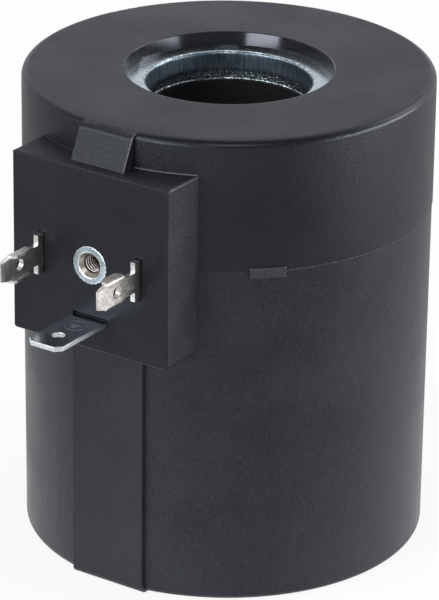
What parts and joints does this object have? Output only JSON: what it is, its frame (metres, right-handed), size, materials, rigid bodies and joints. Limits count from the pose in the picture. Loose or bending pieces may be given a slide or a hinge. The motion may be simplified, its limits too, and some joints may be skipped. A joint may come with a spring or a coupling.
{
  "type": "solenoid valve coil",
  "caption": "Round encapsulated solenoid coil with a through bore between steel pole washers and a side connector base with folded blade contacts, an earth tab and a screw insert.",
  "frame": {"origin": "on the bore axis, in the plane of the bottom face", "axes": "+Z along the bore axis to the end with the connector's ramp, -Y out of the connector face"},
  "size_m": [0.0644, 0.0809, 0.0765],
  "materials": {
    "black_moulding": "fine moulded texture, satin",
    "bobbin_plastic": "smooth, matt",
    "carrier_plastic": "smooth",
    "zinc_steel": "bright zinc plating",
    "sleeve_steel": "rolled mild steel",
    "tinned_brass": "tin plated",
    "solder": "soft bright",
    "copper_wire": "enamelled",
    "amber_tape": "polyester film",
    "glass_braid": "woven sleeving"
  },
  "bodies": {
    "root": {"encapsulation": "black_moulding", "top_pole_washer": "zinc_steel", "bottom_pole_washer": "zinc_steel", "flux_sleeve": "sleeve_steel", "bobbin": "bobbin_plastic", "winding": "copper_wire", "winding_tape": "amber_tape", "start_lead": "copper_wire", "finish_lead": "copper_wire", "start_lead_sleeving": "glass_braid", "finish_lead_sleeving": "glass_braid", "start_solder_joint": "solder", "finish_solder_joint": "solder", "left_contact_tab": "tinned_brass", "right_contact_tab": "tinned_brass", "earth_tab": "zinc_steel", "earth_rivet": "zinc_steel", "screw_insert": "zinc_steel", "terminal_carrier": "carrier_plastic"}
  },
  "joints": []
}
